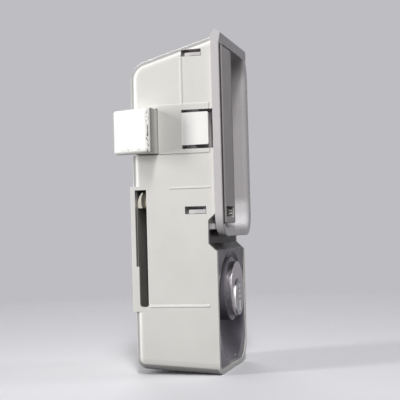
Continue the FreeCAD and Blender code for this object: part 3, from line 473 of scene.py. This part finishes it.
def keyway_marks(s, skin):
    """Darker round the keyway, and a painted highlight on the wall on the far side of its mouth, pale and
    not metallic.
    """
    along = s.within(Z, keyway_dark_z, soft=0.0005)
    across = s.within(X, keyway_dark_x, soft=0.0006, wobble=0.0002)
    skin = s.overpaint(skin, keyway_dark, along, across, keyway_dark_amount)
    # Painted highlight on the far wall of the keyway's mouth.
    wall_x = s.within(X, keyway_wall_x, soft=0.00004)
    wall = s.math("MULTIPLY", wall_x, s.within(Y, keyway_wall_y, soft=0.0001))
    s.set("Metallic", s.spread(wall, 1.0, 0.0))
    return s.overpaint(skin, keyway_wall_highlight, wall)


# The finish of every node

zinc_nodes = ("paddle_pin", "paddle_spring", "bolt_spring", "guide_plate_screws", "pin_springs",
              "barrel_clip", "stop_washer", "cam_spacer", "cam_washer", "cam_screw")


def paint(material, *names):
    for name in names:
        mesh = nodes[name].data
        mesh.materials.clear()
        mesh.materials.append(material)


def finish_plastics():
    housing = moulded("housing_plastic", (229, 227, 222), 0.33, edge=0.00025, marks=housing_marks)
    guide = moulded("guide_plastic", (226, 224, 219), 0.40, edge=0.00025)
    cup = moulded("cup_plastic", (210, 206, 207), 0.30, sheen=cup_sheen, marks=cup_marks)
    # The paddle's colour is darkened as painted shade.
    paddle = moulded("paddle_plastic", (176, 171, 172), 0.40, grain=0.00003, sheen=cup_sheen,
                     marks=paddle_marks)
    # The dish's colour is darkened as painted shade.
    dish = moulded("dish_plastic", (118, 113, 123), 0.24, sheen=dish_sheen, marks=dish_marks)
    bolt = moulded("bolt_plastic", (249, 248, 244), 0.34, grain=0.00004, cloud=0.02, marks=bolt_marks)
    paint(housing, "housing")
    paint(guide, "bolt_guide_plate")
    paint(cup, "handle_cup")
    paint(paddle, "handle_paddle")
    paint(dish, "lock_dish")
    paint(bolt, "latch_bolt")


def finish_metals():
    zinc = plated("zinc_plate", (214, 212, 206), 0.3, grain=0.00002)
    cam = plated("cam_plate", (250, 246, 230), 0.5, grain=0.00003, dull=0.95)
    satin = plated("satin_face", (172, 167, 172), 0.34, grain=0.00001, side_highlight=0.12)
    # The plug's chrome colour is darkened as a painted dark reflection.
    chrome = plated("bright_chrome", (150, 147, 150), 0.2, grain=0.000004, side_highlight=1.0, marks=keyway_marks)
    brass = plated("brass", (196, 164, 92), 0.28, grain=0.00001)
    paint(zinc, *zinc_nodes)
    paint(cam, "hook_cam")
    paint(satin, "lock_barrel")
    paint(chrome, "lock_plug")
    paint(brass, "key_pins", "driver_pins", "pin_cover")


# Springs; the hinge spring's curl turns with the paddle

joints = {joint["name"]: joint for joint in frame["joints"]}
hinge_x, hinge_y, _ = joints["paddle_swing"]["pos_m"]
coil_radius = 0.00215
coil_wire = 0.00035
coil_z = (-0.0064, -0.0037)
coil_turns = 2.25
lead_length = 0.009
curl_x = -0.0136
curl_radius = 0.0009
curl_wire = 0.0003
curl_drop = 0.0025
curl_turns = 2.2
bolt_coil_x = (0.0025, 0.0255)
bolt_coil_y = 0.0316
bolt_coil_z = 0.0301
bolt_coil_radius = 0.003
bolt_coil_wire = 0.00045
bolt_coil_turns = 9
steps_per_turn = 24
steps_per_run = 12
wire_sides = 12


def tube_faces(count):
    """Faces of a tube with so many rings, and a lid at each end."""
    faces = []
    for start in range(0, (count - 1) * wire_sides, wire_sides):
        for k in range(wire_sides):
            n = (k + 1) % wire_sides
            faces.append((start + k, start + n, start + wire_sides + n, start + wire_sides + k))
    faces.append(tuple(reversed(range(wire_sides))))
    faces.append(tuple(range((count - 1) * wire_sides, count * wire_sides)))
    return faces


def wire_piece(name, points, radius):
    """Round wire along a smooth line of points, closed at both ends."""
    verts = []
    across = (points[1] - points[0]).normalized().orthogonal()
    for i, point in enumerate(points):
        ahead = (points[min(i + 1, len(points) - 1)] - points[max(i - 1, 0)]).normalized()
        across = (across - ahead * across.dot(ahead)).normalized()
        other = ahead.cross(across)
        for k in range(wire_sides):
            turn = 2 * math.pi * k / wire_sides
            verts.append(point + (across * math.cos(turn) + other * math.sin(turn)) * radius)
    mesh = bpy.data.meshes.new(name)
    mesh.from_pydata(verts, [], tube_faces(len(points)))
    for polygon in mesh.polygons:
        polygon.use_smooth = len(polygon.vertices) == 4
    piece = bpy.data.objects.new(name, mesh)
    bpy.context.scene.collection.objects.link(piece)
    mesh.materials.append(bpy.data.materials["zinc_plate"])
    return piece


def run(start, end):
    """Points of a straight run, without its end."""
    return [start.lerp(end, k / steps_per_run) for k in range(steps_per_run)]


def winding(turns, place):
    """Points of a coil. Place makes a point from the angle and the share of the coil's length."""
    steps = int(turns * steps_per_turn)
    return [place(2 * math.pi * k / steps_per_turn, k / steps) for k in range(steps + 1)]


def add_hinge_spring():
    """Torsion spring round the paddle's hinge, which stays in place; its curled end is a piece of its own
    that turns with the paddle.
    """
    def place(turn, share):
        x = hinge_x - coil_radius * math.cos(turn)
        y = hinge_y - coil_radius * math.sin(turn)
        return Vector((x, y, coil_z[0] + (coil_z[1] - coil_z[0]) * share))

    coil = winding(coil_turns, place)
    lead = run(coil[0] + Vector((0, lead_length, 0)), coil[0])
    tail = run(coil[-1], Vector((curl_x, coil[-1].y, coil[-1].z)))[1:]
    spring = wire_piece("hinge_spring", lead + coil + tail, coil_wire)
    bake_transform(spring)
    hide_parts("paddle_spring")


def add_curl():
    """Curled end of the hinge spring, in the paddle's window."""
    def place(turn, share):
        x = curl_x + curl_radius * math.sin(turn)
        y = hinge_y - coil_radius - curl_radius + curl_radius * math.cos(turn)
        return Vector((x, y, coil_z[1] - curl_drop * share))

    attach(wire_piece("hinge_spring_curl", winding(curl_turns, place), curl_wire), "paddle")


def add_bolt_spring():
    """Compression spring behind the bolt, fixed to the case."""
    def place(turn, share):
        x = bolt_coil_x[0] + (bolt_coil_x[1] - bolt_coil_x[0]) * share
        y = bolt_coil_y + bolt_coil_radius * math.cos(turn)
        return Vector((x, y, bolt_coil_z + bolt_coil_radius * math.sin(turn)))

    spring = wire_piece("compression_spring", winding(bolt_coil_turns, place), bolt_coil_wire)
    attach(spring, "lock_case")
    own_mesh(spring)
    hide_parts("bolt_spring")


# Stage and light

backdrop_colour = (190, 189, 193)
floor_colour = (246, 245, 249)
floor_bounce = (70, 69, 72)
fill_colour = (235, 236, 240)
fill_strength = 0.05
floor_z = -0.0742
floor_radius = 0.6
floor_fade = (0.12, 0.5)
floor_sides = 96
floor_roughness = 0.95
floor_sheen = 0.1
lamp_distance = 1.05


def seen_directly(tree):
    """1 for what the camera, a gloss or a clear piece shows, 0 for light that only bounces."""
    path = tree.nodes.new("ShaderNodeLightPath")
    seen = path.outputs["Is Camera Ray"]
    for ray in ("Is Glossy Ray", "Is Transmission Ray"):
        either = tree.nodes.new("ShaderNodeMath")
        either.operation = "MAXIMUM"
        tree.links.new(seen, either.inputs[0])
        tree.links.new(path.outputs[ray], either.inputs[1])
        seen = either.outputs[0]
    return seen


def floor_surface():
    """Pale floor that fades out into the backdrop's colour. Its bounce is that of a darker cloth."""
    s = Shader("floor")
    s.set("Base Color", s.mix(seen_directly(s.tree), opaque(floor_bounce), opaque(floor_colour)))
    s.set("Roughness", floor_roughness)
    s.set("Specular IOR Level", floor_sheen)
    length = s.tree.nodes.new("ShaderNodeVectorMath")
    length.operation = "LENGTH"
    s.feed(length.inputs[0], s.place)
    s.set("Alpha", s.spread(length.outputs["Value"], 1.0, 0.0, *floor_fade))
    return s.material


def add_stage():
    turns = [2 * math.pi * k / floor_sides for k in range(floor_sides)]
    ring = [(floor_radius * math.cos(t), floor_radius * math.sin(t), floor_z) for t in turns]
    mesh = bpy.data.meshes.new("floor")
    mesh.from_pydata(ring, [], [tuple(range(floor_sides))])
    floor = bpy.data.objects.new("floor", mesh)
    bpy.context.scene.collection.objects.link(floor)
    mesh.materials.append(floor_surface())


def add_world():
    """Dim fill light, and a plain pale backdrop wherever the camera or a reflection meets it."""
    world = bpy.data.worlds.new("world")
    bpy.context.scene.world = world
    world.use_nodes = True
    tree = world.node_tree
    fill = tree.nodes["Background"]
    fill.inputs["Color"].default_value = opaque(fill_colour)
    fill.inputs["Strength"].default_value = fill_strength
    shown = tree.nodes.new("ShaderNodeBackground")
    shown.inputs["Color"].default_value = opaque(backdrop_colour)
    blend = tree.nodes.new("ShaderNodeMixShader")
    tree.links.new(seen_directly(tree), blend.inputs[0])
    tree.links.new(fill.outputs[0], blend.inputs[1])
    tree.links.new(shown.outputs[0], blend.inputs[2])
    tree.links.new(blend.outputs[0], tree.nodes["World Output"].inputs["Surface"])


def add_lamp(name, turn, rise, size, power):
    """Lamp aimed at the lock. Turn runs from -X towards +Y, rise from level upwards, in degrees."""
    turn = math.radians(turn)
    rise = math.radians(rise)
    level = lamp_distance * math.cos(rise)
    place = Vector((-level * math.cos(turn), level * math.sin(turn), lamp_distance * math.sin(rise)))
    data = bpy.data.lights.new(name, "AREA")
    data.shape = "RECTANGLE"
    data.size, data.size_y = size
    data.energy = power
    lamp = bpy.data.objects.new(name, data)
    lamp.location = place
    lamp.visible_camera = False
    lamp.rotation_euler = (-place).to_track_quat("-Z", "Y").to_euler()
    bpy.context.scene.collection.objects.link(lamp)


def add_lamps():
    add_lamp("high_lamp", turn=-16, rise=50, size=(0.1, 0.4), power=4.6)
    add_lamp("front_lamp", turn=-16, rise=22, size=(0.1, 0.5), power=2.7)
    add_lamp("side_lamp", turn=56, rise=8, size=(0.2, 0.7), power=7.4)
    add_lamp("back_lamp", turn=158, rise=26, size=(0.4, 0.4), power=3.2)
    add_lamp("fill_lamp", turn=-108, rise=26, size=(0.25, 0.25), power=1.3)


add_camera()
finish_plastics()
finish_metals()
add_hinge_spring()
add_curl()
add_bolt_spring()
add_stage()
add_world()
add_lamps()
bpy.context.scene.view_settings.view_transform = "Standard"
